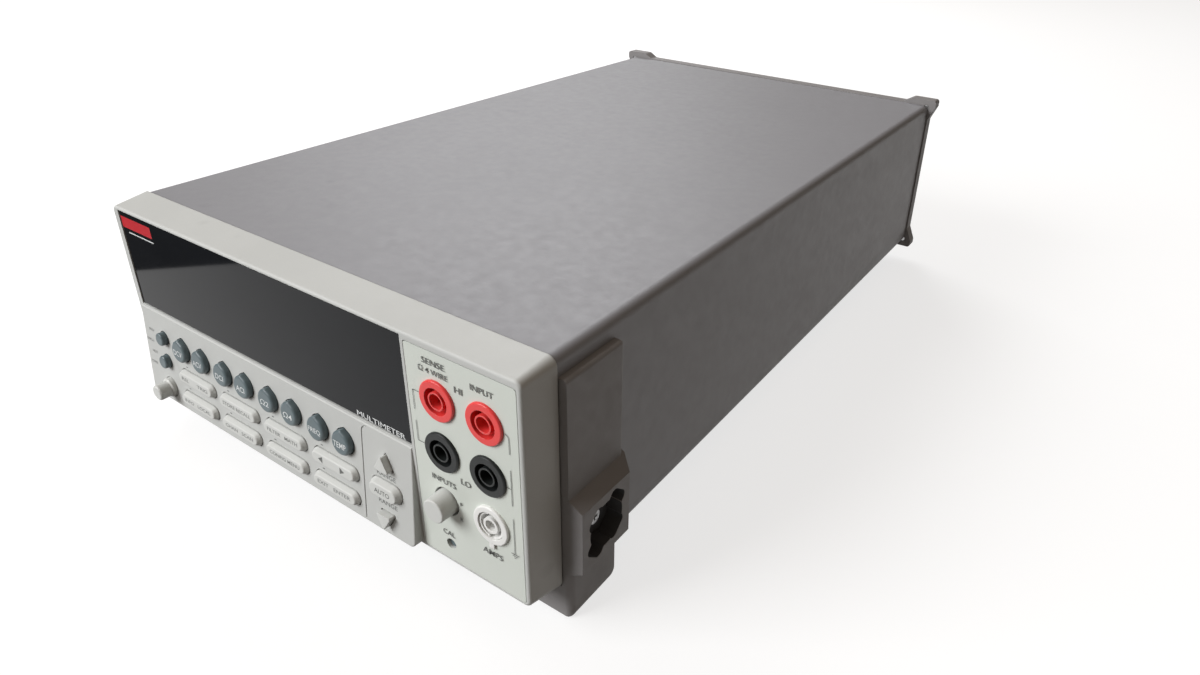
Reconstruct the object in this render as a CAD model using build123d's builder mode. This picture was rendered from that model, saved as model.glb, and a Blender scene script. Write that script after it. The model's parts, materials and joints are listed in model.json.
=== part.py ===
from build123d import *
import os
from math import atan2, cos, degrees, radians, sin

# Half-rack bench multimeter: a sheet metal sleeve between a moulded front bezel and a rear bezel,
# standing on two front feet, which are part of the handle ears, and two rear feet.
# +X is to the right of a person at the front panel, -Y is the front, +Z is up, z = 0 is the bench.

# ---------------------------------------------------------------- driving dimensions
WIDTH = 214.0            # front bezel, at its rear edge
HEIGHT = 88.6            # front bezel, at its rear edge
FOOT = 13.0              # height of the feet under the bezel's lowest line
REAR = 370.0             # depth from the front face to the end of the rear bumpers
POWER_REACH = 9.7        # how far the power button stands out in front of the front face

BEZEL_DEPTH = 13.7
BEZEL_DROP = 1.9         # how much the front outline is lower than the rear one at the top
BEZEL_RISE = 2.4         # and higher at the bottom
BEZEL_TUCK = 1.6         # and narrower at each side
BEZEL_WALL = 3.0

SLEEVE_GAP = 0.3         # joint between bezels and sleeve
SLEEVE_REAR = 362.0
SLEEVE_INSET = 0.5       # sleeve surface below the bezel's edge
SLEEVE_WALL = 1.2
SLEEVE_CORNER = 3.5

PANEL_DEPTH = 354.0      # rear panel, set in from the rear bumpers
PANEL_WALL = 1.5

JACK_PITCH = 19.05       # 3/4 inch, the standard pitch of 4 mm jacks
JACK_X = 72.0
JACK_TOP = 67.4
JACK_LOW = JACK_TOP - JACK_PITCH
AMPS_AT = (JACK_X + JACK_PITCH, JACK_TOP - 2 * JACK_PITCH)
CONTACT_R = 2.03         # 4 mm plug with its running clearance

POWER_AT = (-88.6, 10.0)
INPUTS_AT = (71.6, 28.5)
CAL_AT = (71.8, 10.5)

GAP = 0.3                # clearance of a cap in its hole
KEY_TRAVEL = 1.0
KEYPAD_SKIN = 2.5        # wall of the bezel under the key caps

# ---------------------------------------------------------------- derived places
LENGTH = REAR + POWER_REACH
FACE_Y = POWER_REACH - LENGTH / 2
SIDE = WIDTH / 2 - SLEEVE_INSET                 # sleeve side surface
SLEEVE_BOTTOM = SLEEVE_INSET
SLEEVE_TOP = HEIGHT - SLEEVE_INSET
MIDDLE = HEIGHT / 2
SHEET = 1.0                                     # chassis sheet
CHASSIS_FLOOR = SLEEVE_BOTTOM + SLEEVE_WALL + 0.8

# The keypad is a wedge in front of the bezel face; its surface leans back at the top.
KEYPAD_LEFT, KEYPAD_RIGHT = -103.5, 57.8
KEYPAD_TOP, KEYPAD_BOTTOM = 43.0, 3.0
KEYPAD_TOP_REACH, KEYPAD_BOTTOM_REACH = 0.3, 3.8
KEYPAD_TILT = degrees(atan2(KEYPAD_BOTTOM_REACH - KEYPAD_TOP_REACH, KEYPAD_TOP - KEYPAD_BOTTOM))

WINDOW = (-101.7, 58.0, 44.3, 85.5)             # left, right, bottom, top
TERMINALS = (59.2, 103.9, 3.7, 84.2)

os.makedirs("parts", exist_ok=True)


def at_depth(depth, height=0.0):
    """Plane across the instrument: local x to the right, y up from a height, normal forward."""
    return Plane(origin=(0, FACE_Y + depth, FOOT + height), x_dir=(1, 0, 0), z_dir=(0, -1, 0))


def at_height(height):
    """Horizontal plane at a height above the bezel's base: local x to the right, y to the rear."""
    return Plane.XY.offset(FOOT + height)


def across(x):
    """Vertical plane at x: local x to the rear, local y up, normal to the right."""
    return Plane(origin=(x, FACE_Y, FOOT), x_dir=(0, 1, 0), z_dir=(1, 0, 0))


def on_keypad(x, height, level=0.0):
    """Plane on the keypad surface at a place given by x and height; level is outwards."""
    tilt = radians(KEYPAD_TILT)
    reach = KEYPAD_TOP_REACH + (KEYPAD_TOP - height) * sin(tilt) / cos(tilt)
    place = Plane(
        origin=(x, FACE_Y - reach, FOOT + height),
        x_dir=(1, 0, 0),
        z_dir=(0, -cos(tilt), sin(tilt)),
    )
    return place.offset(level)


def save(builder, name):
    builder.part.label = name
    export_step(builder.part, f"parts/{name}.step")


def block(x_range, depth_range, height_range, mode=Mode.ADD):
    """A rectangular block given by its limits, for use inside a part."""
    x0, x1 = x_range
    d0, d1 = depth_range
    h0, h1 = height_range
    with BuildSketch(at_depth(d0)) as outline:
        with Locations(((x0 + x1) / 2, (h0 + h1) / 2)):
            Rectangle(x1 - x0, h1 - h0)
    extrude(outline.sketch, amount=d0 - d1, mode=mode)


def rod(x, height, depth_range, radius, mode=Mode.ADD):
    """A round bar or hole along the depth of the instrument, for use inside a part."""
    d0, d1 = depth_range
    with BuildSketch(at_depth(d0)) as outline:
        with Locations((x, height)):
            Circle(radius)
    extrude(outline.sketch, amount=d0 - d1, mode=mode)


# ---------------------------------------------------------------- key caps and their outlines
EGG_R = 4.75
EGG_TIP_R = 0.8
EGG_REACH = 5.3
FUNCTION_HEIGHT = 31.6
FUNCTION_GROUP = 28.6
FUNCTION_PAIR = 13.6
FUNCTION_FIRST = -75.1
FUNCTION_KEYS = [
    "dc_volts_key", "ac_volts_key", "dc_current_key", "ac_current_key",
    "two_wire_ohms_key", "four_wire_ohms_key", "frequency_key", "temperature_key",
]

ROCKER = (24.2, 5.8)
ROCKER_FIRST = -66.3
ROCKER_PITCH = 28.35
ROCKER_ROWS = (20.0, 10.0)
ROCKER_RISE = 2.0
ROCKER_TAPER = 30
ROCKER_GAP = 0.35
ROCKER_KEYS = [
    ["relative_trigger_key", "store_recall_key", "filter_math_key", "cursor_key"],
    ["info_local_key", "channel_scan_key", "config_menu_key", "exit_enter_key"],
]

SMALL_R = 2.8
SMALL_X = -88.4
SMALL_KEYS = {"previous_key": 32.7, "next_key": 22.3}

RANGE_X = 45.1
RANGE_R = 4.1
RANGE_CREST = 2.5
RANGE_TILT = 20
AUTO = (15.0, 7.0)
AUTO_HEIGHT = 21.4
AUTO_TAPER = 28
RANGE_KEYS = {"range_up_key": (31.9, 90), "range_down_key": (10.0, -90)}


def egg(gap=0.0):
    """Round at the bottom and drawn to a small tip at the top."""
    Circle(EGG_R + gap)
    with Locations((0, EGG_REACH - EGG_TIP_R)):
        Circle(EGG_TIP_R + gap)
    make_hull()


def pill(size, gap=0.0):
    SlotOverall(size[0] + 2 * gap, size[1] + 2 * gap)


def arrow(turn, gap=0.0):
    RegularPolygon(RANGE_R + 2 * gap, 3, rotation=turn)
    fillet(vertices(), 0.6)


def function_places():
    for i, name in enumerate(FUNCTION_KEYS):
        group, half = divmod(i, 2)
        yield name, FUNCTION_FIRST + group * FUNCTION_GROUP + half * FUNCTION_PAIR


def rocker_places():
    for names, height in zip(ROCKER_KEYS, ROCKER_ROWS):
        for column, name in enumerate(names):
            yield name, ROCKER_FIRST + column * ROCKER_PITCH, height


CAP_FOOT = 0.3           # caps are straight up to here, above the keypad, and slope in from here on
FLANGE_TOP = -KEYPAD_SKIN - 0.1
FLANGE = 0.9
MAT_TOP = FLANGE_TOP - FLANGE - KEY_TRAVEL - 0.2
MAT = 1.2
KEY_BOARD = 1.6

# ---------------------------------------------------------------- front bezel
FRONT_WIDTH = WIDTH - 2 * BEZEL_TUCK
FRONT_HEIGHT = HEIGHT - BEZEL_DROP - BEZEL_RISE
FRONT_MIDDLE = BEZEL_RISE + FRONT_HEIGHT / 2
LENS_SEAT = 2.2
OVERLAY_SEAT = 0.5
JACK_BARREL = 6.0

with BuildPart() as keypad_wedge:
    with BuildSketch(across(KEYPAD_LEFT)):
        with BuildLine():
            Polyline(
                (1.0, KEYPAD_TOP + 1.2), (0.5, KEYPAD_TOP + 1.2),
                (-KEYPAD_TOP_REACH, KEYPAD_TOP), (-KEYPAD_BOTTOM_REACH, KEYPAD_BOTTOM),
                (1.0, KEYPAD_BOTTOM - 0.5), close=True,
            )
        make_face()
    extrude(amount=KEYPAD_RIGHT - KEYPAD_LEFT)
    fillet(keypad_wedge.faces().sort_by(Axis.Z)[0].edges().filter_by(Axis.X, reverse=True), 2.6)
    fillet(keypad_wedge.faces().sort_by(Axis.Y)[0].edges().sort_by(Axis.Z)[:-1], 0.5)

with BuildPart() as front_bezel:
    with BuildSketch(at_depth(BEZEL_DEPTH)):
        with Locations((0, MIDDLE)):
            RectangleRounded(WIDTH, HEIGHT, 3.4)
    with BuildSketch(at_depth(0)):
        with Locations((0, FRONT_MIDDLE)):
            RectangleRounded(FRONT_WIDTH, FRONT_HEIGHT, 2.6)
    loft()
    fillet(front_bezel.faces().sort_by(Axis.Y)[0].edges(), 1.1)
    add(keypad_wedge.part)
    # hollow behind the face, and behind the keypad
    with BuildSketch(at_depth(BEZEL_DEPTH)):
        with Locations((0, MIDDLE + 0.3)):
            RectangleRounded(WIDTH - 8, HEIGHT - 10.6, 2)
    extrude(amount=BEZEL_DEPTH - BEZEL_WALL, mode=Mode.SUBTRACT)
    with BuildSketch(on_keypad(0, 23.6, -KEYPAD_SKIN)):
        with Locations(((KEYPAD_LEFT + KEYPAD_RIGHT) / 2, 0)):
            Rectangle(KEYPAD_RIGHT - KEYPAD_LEFT - 5, 36.4)
    extrude(amount=-8, mode=Mode.SUBTRACT)
    # display window, with a ledge for the lens
    with BuildSketch(at_depth(0)):
        with Locations(((WINDOW[0] + WINDOW[1]) / 2, (WINDOW[2] + WINDOW[3]) / 2)):
            Rectangle(WINDOW[1] - WINDOW[0], WINDOW[3] - WINDOW[2])
    extrude(amount=-LENS_SEAT, mode=Mode.SUBTRACT)
    with BuildSketch(at_depth(0)):
        with Locations(((WINDOW[0] + WINDOW[1]) / 2, (WINDOW[2] + WINDOW[3]) / 2)):
            Rectangle(WINDOW[1] - WINDOW[0] - 8, WINDOW[3] - WINDOW[2] - 7)
    extrude(amount=-BEZEL_WALL, mode=Mode.SUBTRACT)
    # shallow field for the terminal overlay
    with BuildSketch(at_depth(0)):
        with Locations(((TERMINALS[0] + TERMINALS[1]) / 2, (TERMINALS[2] + TERMINALS[3]) / 2)):
            RectangleRounded(TERMINALS[1] - TERMINALS[0], TERMINALS[3] - TERMINALS[2], 1.2)
    extrude(amount=-OVERLAY_SEAT, mode=Mode.SUBTRACT)
    # holes for jacks, buttons and keys
    with BuildSketch(at_depth(0)):
        for column in range(2):
            for height in (JACK_TOP, JACK_LOW):
                with Locations((JACK_X + column * JACK_PITCH, height)):
                    Circle(JACK_BARREL + 0.1)
        with Locations(AMPS_AT):
            Circle(JACK_BARREL + 0.5)
        with Locations(INPUTS_AT):
            Circle(5.2)
        with Locations(CAL_AT):
            Circle(2.0)
    extrude(amount=-BEZEL_WALL, mode=Mode.SUBTRACT)
    rod(POWER_AT[0], POWER_AT[1], (-6, BEZEL_WALL), 4.5, Mode.SUBTRACT)
    for name, x in function_places():
        with BuildSketch(on_keypad(x, FUNCTION_HEIGHT)):
            egg(GAP)
        extrude(amount=-KEYPAD_SKIN - 1, mode=Mode.SUBTRACT)
    for name, x, height in rocker_places():
        with BuildSketch(on_keypad(x, height)):
            pill(ROCKER, ROCKER_GAP)
        extrude(amount=-KEYPAD_SKIN - 1, mode=Mode.SUBTRACT)
    for height in SMALL_KEYS.values():
        with BuildSketch(on_keypad(SMALL_X, height)):
            Circle(SMALL_R + GAP)
        extrude(amount=-KEYPAD_SKIN - 1, mode=Mode.SUBTRACT)
    for height, turn in RANGE_KEYS.values():
        with BuildSketch(on_keypad(RANGE_X, height)):
            arrow(turn, GAP)
        extrude(amount=-KEYPAD_SKIN - 1, mode=Mode.SUBTRACT)
    with BuildSketch(on_keypad(RANGE_X, AUTO_HEIGHT)):
        pill(AUTO, GAP)
    extrude(amount=-KEYPAD_SKIN - 1, mode=Mode.SUBTRACT)
    # groove that sets the range keys apart
    with BuildSketch(on_keypad(33.5, 22.4)):
        with BuildLine():
            Line((0, -18.2), (0, 17.4))
            TangentArc((0, 17.4), (2.6, 20.0), tangent=(0, 1))
        trace(line_width=0.45)
    extrude(amount=-0.35, mode=Mode.SUBTRACT)
save(front_bezel, "front_bezel")

# ---------------------------------------------------------------- terminal overlay and display lens
with BuildPart() as terminal_panel:
    with BuildSketch(at_depth(0.1)):
        # close to the edge of its field on the left and below, with a fine gap at the right and above
        with Locations(((TERMINALS[0] + TERMINALS[1] - 0.3) / 2, (TERMINALS[2] + TERMINALS[3] - 0.3) / 2)):
            RectangleRounded(TERMINALS[1] - TERMINALS[0] - 0.4, TERMINALS[3] - TERMINALS[2] - 0.4, 1.0)
        for column in range(2):
            for height in (JACK_TOP, JACK_LOW):
                with Locations((JACK_X + column * JACK_PITCH, height)):
                    Circle(JACK_BARREL + 0.2, mode=Mode.SUBTRACT)
        with Locations(AMPS_AT):
            Circle(JACK_BARREL + 0.6, mode=Mode.SUBTRACT)
        with Locations(INPUTS_AT):
            Circle(5.3, mode=Mode.SUBTRACT)
        with Locations(CAL_AT):
            Circle(2.1, mode=Mode.SUBTRACT)
    extrude(amount=0.1 - OVERLAY_SEAT)
save(terminal_panel, "terminal_panel")

with BuildPart() as display_lens:
    with BuildSketch(at_depth(0.35)):
        with Locations(((WINDOW[0] + WINDOW[1]) / 2, (WINDOW[2] + WINDOW[3]) / 2)):
            Rectangle(WINDOW[1] - WINDOW[0] - 0.3, WINDOW[3] - WINDOW[2] - 0.3)
    extrude(amount=0.35 - LENS_SEAT)
    chamfer(display_lens.faces().sort_by(Axis.Y)[0].edges(), 0.25)
save(display_lens, "display_lens")

# ---------------------------------------------------------------- keys
FUNCTION_CREST = 2.3
FUNCTION_ROUND = 1.2

for name, x in function_places():
    with BuildPart() as key:
        with BuildSketch(on_keypad(x, FUNCTION_HEIGHT, FLANGE_TOP)):
            egg()
        extrude(amount=FUNCTION_CREST - FLANGE_TOP)
        fillet(key.faces().sort_by(Axis.Y)[0].edges(), FUNCTION_ROUND)
        with BuildSketch(on_keypad(x, FUNCTION_HEIGHT, FLANGE_TOP)):
            Circle(EGG_R + 0.9)
        extrude(amount=-FLANGE)
    save(key, name)

for name, x, height in rocker_places():
    with BuildPart() as key:
        with BuildSketch(on_keypad(x, height, FLANGE_TOP)):
            pill(ROCKER)
        extrude(amount=CAP_FOOT - FLANGE_TOP)
        with BuildSketch(on_keypad(x, height, CAP_FOOT)):
            pill(ROCKER)
        extrude(amount=ROCKER_RISE - CAP_FOOT, taper=ROCKER_TAPER)
        fillet(key.faces().sort_by(Axis.Y)[0].edges(), 0.6)
        # only the middle is held behind the skin, so that the ends can rock
        with BuildSketch(on_keypad(x, height, FLANGE_TOP - 0.2)):
            Rectangle(6, ROCKER[1] + 1.8)
        extrude(amount=-FLANGE)
        with BuildSketch(on_keypad(x, height, FLANGE_TOP)):
            Rectangle(6, ROCKER[1])
        extrude(amount=-0.2)
    save(key, name)

for name, height in SMALL_KEYS.items():
    with BuildPart() as key:
        with BuildSketch(on_keypad(SMALL_X, height, FLANGE_TOP)):
            Circle(SMALL_R)
        extrude(amount=2.4 - FLANGE_TOP)
        fillet(key.faces().sort_by(Axis.Y)[0].edges(), 0.8)
        with BuildSketch(on_keypad(SMALL_X, height, FLANGE_TOP)):
            Circle(SMALL_R + 0.9)
        extrude(amount=-FLANGE)
    save(key, name)

for name, (height, turn) in RANGE_KEYS.items():
    with BuildPart() as key:
        with BuildSketch(on_keypad(RANGE_X, height, FLANGE_TOP)):
            arrow(turn)
        extrude(amount=RANGE_CREST + 0.5 - FLANGE_TOP)
        # two facets meet in a ridge along the arrow
        crest = on_keypad(RANGE_X, height, RANGE_CREST)
        for lean in ((0, RANGE_TILT, 0), (0, -RANGE_TILT, 0)):
            split(bisect_by=crest.rotated(lean), keep=Keep.BOTTOM)
        with BuildSketch(on_keypad(RANGE_X, height, FLANGE_TOP)):
            Circle(RANGE_R + 0.3)
        extrude(amount=-FLANGE)
    save(key, name)

with BuildPart() as auto_range_key:
    with BuildSketch(on_keypad(RANGE_X, AUTO_HEIGHT, FLANGE_TOP)):
        pill(AUTO)
    extrude(amount=CAP_FOOT - FLANGE_TOP)
    with BuildSketch(on_keypad(RANGE_X, AUTO_HEIGHT, CAP_FOOT)):
        pill(AUTO)
    extrude(amount=2.4 - CAP_FOOT, taper=AUTO_TAPER)
    fillet(auto_range_key.faces().sort_by(Axis.Y)[0].edges(), 0.6)
    with BuildSketch(on_keypad(RANGE_X, AUTO_HEIGHT, FLANGE_TOP)):
        pill(AUTO, 0.7)
    extrude(amount=-FLANGE)
save(auto_range_key, "auto_range_key")

# ---------------------------------------------------------------- key mat and boards behind the face
for name, top, thickness in (("key_mat", MAT_TOP, MAT), ("key_board", MAT_TOP - MAT, KEY_BOARD)):
    with BuildPart() as layer:
        with BuildSketch(on_keypad((KEYPAD_LEFT + KEYPAD_RIGHT) / 2, 24.0, top)):
            Rectangle(KEYPAD_RIGHT - KEYPAD_LEFT - 6, 34.0)
        extrude(amount=-thickness)
        rod(POWER_AT[0], POWER_AT[1], (-4, 14), 5.0, Mode.SUBTRACT)
    save(layer, name)

with BuildPart() as display_board:
    block((-100, 55), (9.6, 11.2), (44.5, 82.5))
save(display_board, "display_board")

with BuildPart() as display_tube:
    block((-92, 48), (3.6, 9.2), (50, 80))
save(display_tube, "display_tube")

# ---------------------------------------------------------------- push buttons on the face
POWER_R = 3.4
POWER_COLLAR_R = 4.2
ROD_END = 292.0

with BuildPart() as power_button:
    rod(*POWER_AT, (-POWER_REACH, 8.0), POWER_R)
    fillet(power_button.faces().sort_by(Axis.Y)[0].edges(), 1.0)
    rod(*POWER_AT, (-4.8, 8.0), POWER_COLLAR_R)
    circles = power_button.edges().filter_by(GeomType.CIRCLE)
    collar_edges = circles.filter_by(lambda e: e.radius > POWER_R + 0.1)
    chamfer(collar_edges.sort_by(Axis.Y)[0], 0.4)
save(power_button, "power_button")

with BuildPart() as power_rod:
    rod(*POWER_AT, (8.0, ROD_END), 1.6)
    rod(*POWER_AT, (8.0, 12.0), 2.6)
save(power_rod, "power_rod")

with BuildPart() as power_switch:
    block((POWER_AT[0] - 6.5, POWER_AT[0] + 6.5), (ROD_END + 5.5, ROD_END + 33), (CHASSIS_FLOOR + SHEET, 19))
save(power_switch, "power_switch")

with BuildPart() as inputs_button:
    with BuildSketch(at_depth(9.5)):
        with Locations(INPUTS_AT):
            Circle(4.9)
    with BuildSketch(at_depth(-6.0)):
        with Locations(INPUTS_AT):
            Circle(4.3)
    loft()
    fillet(inputs_button.faces().sort_by(Axis.Y)[0].edges(), 0.5)
save(inputs_button, "inputs_button")

with BuildPart() as inputs_switch:
    block((INPUTS_AT[0] - 6, INPUTS_AT[0] + 6), (14.5, 38), (INPUTS_AT[1] - 6, INPUTS_AT[1] + 6))
save(inputs_switch, "inputs_switch")

with BuildPart() as cal_button:
    rod(*CAL_AT, (1.2, 6.0), 1.7)
    rod(*CAL_AT, (4.0, 6.0), 2.6)
save(cal_button, "cal_button")

# ---------------------------------------------------------------- 4 mm safety jacks
JACK_RIM = 7.1
JACK_PROUD = 1.0
JACK_LENGTH = 25.0
SHROUD_R = (3.2, 4.7)        # annular space for a plug's shroud
CONTACT_OUTER = 2.6
CONTACT_FROM, CONTACT_TO = 3.6, 21.6


def jack_shell(x, height, start, forward):
    """One jack: start is the depth of its seat, forward is -1 facing the front and 1 facing the rear."""
    def level(amount):
        return start + forward * amount

    def bar(inner, outer, radius, mode):
        ends = sorted((level(inner), level(outer)))
        rod(x, height, ends, radius, mode)

    bar(-JACK_LENGTH, 0, JACK_BARREL, Mode.ADD)
    bar(0, JACK_PROUD, JACK_RIM, Mode.ADD)
    bar(-18.0, JACK_PROUD, SHROUD_R[1], Mode.SUBTRACT)
    bar(-18.0, JACK_PROUD - 0.1, SHROUD_R[0], Mode.ADD)
    bar(-CONTACT_TO, JACK_PROUD, CONTACT_OUTER, Mode.SUBTRACT)


FRONT_SEAT = 0.1
REAR_SEAT = PANEL_DEPTH + PANEL_WALL
REAR_JACK_X = 62.0
REAR_JACK_TOP = 62.0
JACK_ROWS = {"red_jacks": (JACK_TOP, REAR_JACK_TOP), "black_jacks": (JACK_LOW, REAR_JACK_TOP - JACK_PITCH)}

for name, (front_height, rear_height) in JACK_ROWS.items():
    with BuildPart() as jacks:
        for column in range(2):
            jack_shell(JACK_X + column * JACK_PITCH, front_height, FRONT_SEAT, -1)
            jack_shell(REAR_JACK_X + column * JACK_PITCH, rear_height, REAR_SEAT, 1)
        rims = jacks.edges().filter_by(GeomType.CIRCLE).filter_by(lambda e: abs(e.radius - JACK_RIM) < 0.01)
        fillet(rims.group_by(Axis.Y)[0] + rims.group_by(Axis.Y)[-1], 0.5)
    save(jacks, name)

with BuildPart() as jack_contacts:
    for column in range(2):
        for front_height, rear_height in JACK_ROWS.values():
            for x, height, ends in (
                (JACK_X, front_height, (FRONT_SEAT + CONTACT_FROM, FRONT_SEAT + CONTACT_TO)),
                (REAR_JACK_X, rear_height, (REAR_SEAT - CONTACT_TO, REAR_SEAT - CONTACT_FROM)),
            ):
                rod(x + column * JACK_PITCH, height, ends, CONTACT_OUTER)
                rod(x + column * JACK_PITCH, height, ends, CONTACT_R, Mode.SUBTRACT)
save(jack_contacts, "jack_contacts")

# ---------------------------------------------------------------- current jack with its fuse carrier
AMPS_BORE = 5.1
AMPS_END = 40.0
FUSE_R = 2.6

with BuildPart() as amps_jack:
    rod(*AMPS_AT, (FRONT_SEAT - JACK_PROUD, FRONT_SEAT), JACK_RIM)
    fillet(amps_jack.faces().sort_by(Axis.Y)[0].edges(), 0.5)
    rod(*AMPS_AT, (FRONT_SEAT, AMPS_END), JACK_BARREL + 0.3)
    rod(*AMPS_AT, (FRONT_SEAT - JACK_PROUD, AMPS_END - 1.2), AMPS_BORE, Mode.SUBTRACT)
    # index nub under the rim
    block((AMPS_AT[0] - 1, AMPS_AT[0] + 1), (FRONT_SEAT - 0.8, FRONT_SEAT), (AMPS_AT[1] - 9, AMPS_AT[1] - 6.9))
save(amps_jack, "amps_jack")

with BuildPart() as amps_carrier:
    rod(*AMPS_AT, (-0.4, 14.0), AMPS_BORE - 0.2)
    rod(*AMPS_AT, (-0.4, 10.0), 4.2, Mode.SUBTRACT)
    rod(*AMPS_AT, (-0.6, 10.0), 3.0)
    rod(*AMPS_AT, (-0.6, 12.0), CONTACT_R, Mode.SUBTRACT)
    # slots in the rim for a turning tool
    for low, high in ((3.4, 6), (-6, -3.4)):
        block(
            (AMPS_AT[0] - 0.8, AMPS_AT[0] + 0.8),
            (-0.4, 1.6),
            (AMPS_AT[1] + low, AMPS_AT[1] + high),
            Mode.SUBTRACT,
        )
save(amps_carrier, "amps_carrier")

with BuildPart() as amps_fuse:
    rod(*AMPS_AT, (14.0, 34.0), FUSE_R)
save(amps_fuse, "amps_fuse")

with BuildPart() as amps_spring_cup:
    rod(*AMPS_AT, (34.2, 38.6), 4.0)
save(amps_spring_cup, "amps_spring_cup")

# ---------------------------------------------------------------- sleeve, handle ears and feet
EAR_FRONT = 14.2
EAR_REAR = 43.6
EAR_PLATE = 109.8
EAR_BLOCK = 115.1
BLOCK_TOP = 35.0
BLOCK_BOTTOM = 10.5
SHELF = 38.0
EAR_TOP = 81.4
FOOT_OUT = 110.2
FOOT_IN = 80.0
FOOT_REAR = 40.0
SOCKET_AT = (26.7, 22.8)         # depth and height of the handle socket's centre
SOCKET_R = 8.6
SOCKET_LOBES = ((23.0, 8.8, 50), (19.5, 8.6, -45))
SOCKET_FLOOR = 108.6
SCREW_R = 1.5
SCREW_HOLE_R = 1.7
SCREW_HEAD_R = 2.6

with BuildPart() as case_sleeve:
    with BuildSketch(at_depth(BEZEL_DEPTH + SLEEVE_GAP)):
        with Locations((0, MIDDLE)):
            RectangleRounded(2 * SIDE, SLEEVE_TOP - SLEEVE_BOTTOM, SLEEVE_CORNER)
            RectangleRounded(
                2 * (SIDE - SLEEVE_WALL), SLEEVE_TOP - SLEEVE_BOTTOM - 2 * SLEEVE_WALL,
                SLEEVE_CORNER - SLEEVE_WALL, mode=Mode.SUBTRACT,
            )
    extrude(amount=BEZEL_DEPTH + SLEEVE_GAP - SLEEVE_REAR)
    with BuildSketch(across(0)):
        with Locations(SOCKET_AT):
            Circle(SCREW_HOLE_R)
    extrude(amount=WIDTH, both=True, mode=Mode.SUBTRACT)
save(case_sleeve, "case_sleeve")

with BuildPart() as right_ear:
    # plate and handle block against the side of the sleeve
    with BuildSketch(at_depth(EAR_FRONT)):
        with BuildLine():
            Polyline(
                (SIDE, EAR_TOP), (EAR_PLATE, EAR_TOP), (EAR_PLATE, SHELF), (EAR_BLOCK, BLOCK_TOP),
                (EAR_BLOCK, BLOCK_BOTTOM), (FOOT_OUT, BLOCK_BOTTOM - 3), (SIDE, BLOCK_BOTTOM - 3), close=True,
            )
        make_face()
        outer = vertices().filter_by(lambda v: v.X > EAR_PLATE - 0.1)
        fillet(outer.sort_by(Axis.Y)[-1], 1.3)
        fillet(outer.sort_by(Axis.Y)[-2], 5)
    extrude(amount=EAR_FRONT - EAR_REAR)
    fillet(right_ear.edges().filter_by(Axis.X).sort_by(lambda e: e.center().Y + e.center().Z)[-1], 2.5)
    # foot, reaching under the sleeve
    with BuildSketch(across(FOOT_IN)):
        with BuildLine():
            Polyline(
                (EAR_FRONT, SLEEVE_BOTTOM), (EAR_FRONT, -FOOT), (FOOT_REAR, -FOOT), (FOOT_REAR, SLEEVE_BOTTOM),
                close=True,
            )
        make_face()
        fillet(vertices().group_by(Axis.Y)[0].sort_by(Axis.X)[-1], 4)
        fillet(vertices().group_by(Axis.Y)[0].sort_by(Axis.X)[0], 1)
    extrude(amount=FOOT_OUT - FOOT_IN)
    block((SIDE, FOOT_OUT), (EAR_FRONT, FOOT_REAR), (SLEEVE_BOTTOM, BLOCK_BOTTOM - 3))
    fillet(right_ear.edges().filter_by(Axis.Y).group_by(Axis.Z)[0].sort_by(Axis.X)[-1], 2.5)
    # the block narrows towards the rear
    with BuildSketch(at_height(-FOOT)):
        with BuildLine():
            Polyline(
                (EAR_PLATE, FACE_Y + EAR_REAR), (EAR_BLOCK, FACE_Y + 39.3),
                (EAR_BLOCK + 2, FACE_Y + 39.3), (EAR_BLOCK + 2, FACE_Y + EAR_REAR + 2),
                (EAR_PLATE, FACE_Y + EAR_REAR + 2), close=True,
            )
        make_face()
    extrude(amount=60, mode=Mode.SUBTRACT)
    # socket for the handle's hub, with a screw hole in its floor
    with BuildSketch(across(SOCKET_FLOOR)):
        with Locations(SOCKET_AT):
            Circle(SOCKET_R)
            for length, width, turn in SOCKET_LOBES:
                RectangleRounded(length, width, 2.2, rotation=turn)
    extrude(amount=10, mode=Mode.SUBTRACT)
    with BuildSketch(across(SIDE - 1)):
        with Locations(SOCKET_AT):
            Circle(SCREW_HOLE_R)
    extrude(amount=5, mode=Mode.SUBTRACT)
save(right_ear, "right_ear")

with BuildPart() as left_ear:
    mirror(right_ear.part, about=Plane.YZ)
save(left_ear, "left_ear")

REAR_FOOT_AT = (78.0, 330.0)
with BuildPart() as rear_feet:
    for side in (-1, 1):
        with BuildSketch(at_height(SLEEVE_BOTTOM)):
            with Locations((side * REAR_FOOT_AT[0], FACE_Y + REAR_FOOT_AT[1])):
                Circle(10)
        extrude(amount=-FOOT - SLEEVE_BOTTOM, taper=5)
    fillet(rear_feet.edges().filter_by(GeomType.CIRCLE).group_by(Axis.Z)[0], 1.0)
save(rear_feet, "rear_feet")

# ---------------------------------------------------------------- rear bezel
RIM_SIDE = 0.3           # rim of the rear bezel beyond the front bezel's width
BUMPER_OUT = 3.4
BUMPER_UP = 3.0
BUMPER_WIDTH = 11.0
BUMPER_SLOPE = 5.0
BUMPER_DROP = 9.0
BEZEL_SCREW_AT = (105.4, 42.6)

HALF_W = WIDTH / 2 + RIM_SIDE
HALF_H = HEIGHT / 2

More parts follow.
